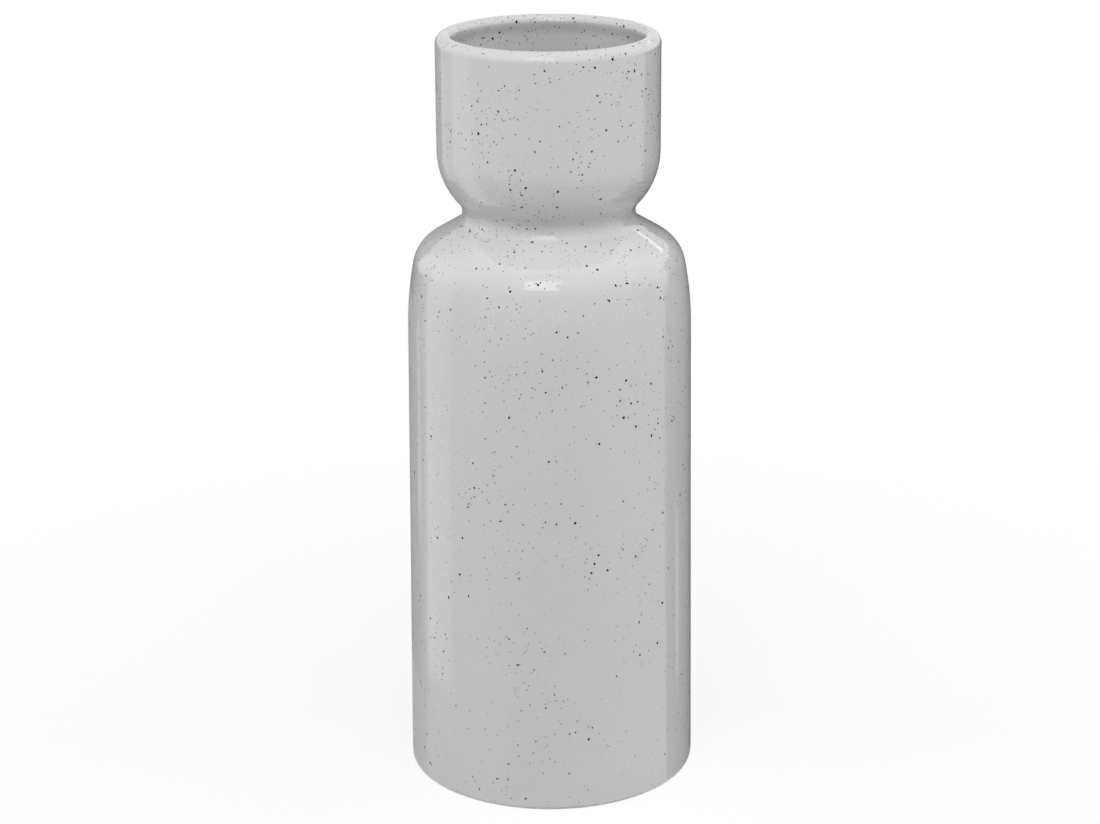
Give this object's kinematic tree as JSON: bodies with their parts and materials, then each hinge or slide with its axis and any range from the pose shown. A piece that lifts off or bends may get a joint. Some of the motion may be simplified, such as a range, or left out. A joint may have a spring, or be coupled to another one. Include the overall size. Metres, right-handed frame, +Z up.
{
  "type": "bottle vase",
  "caption": "Glazed stoneware bottle vase with a tall near-straight body, a rounded sloping shoulder, a tight neck and a cup-shaped mouth with a thick rounded lip.",
  "frame": {"origin": "centre of the foot ring, on the plane that the vase stands on", "axes": "+Z up along the axis of revolution; the vase has no front, so +X and +Y are any two square directions"},
  "size_m": [0.1194, 0.1194, 0.31],
  "materials": {
    "stoneware": "bare fired stoneware, matt and fine-grained",
    "joining_slip": "fired joining slip, matt",
    "outer_glaze": "glossy light grey glaze with fine dark and brown iron specks",
    "liner_glaze": "glossy light grey glaze with fine dark and brown iron specks"
  },
  "bodies": {
    "root": {"lower_body": "stoneware", "upper_cup": "stoneware", "slip_seam": "joining_slip", "outer_glaze": "outer_glaze", "liner_glaze": "liner_glaze"}
  },
  "joints": []
}
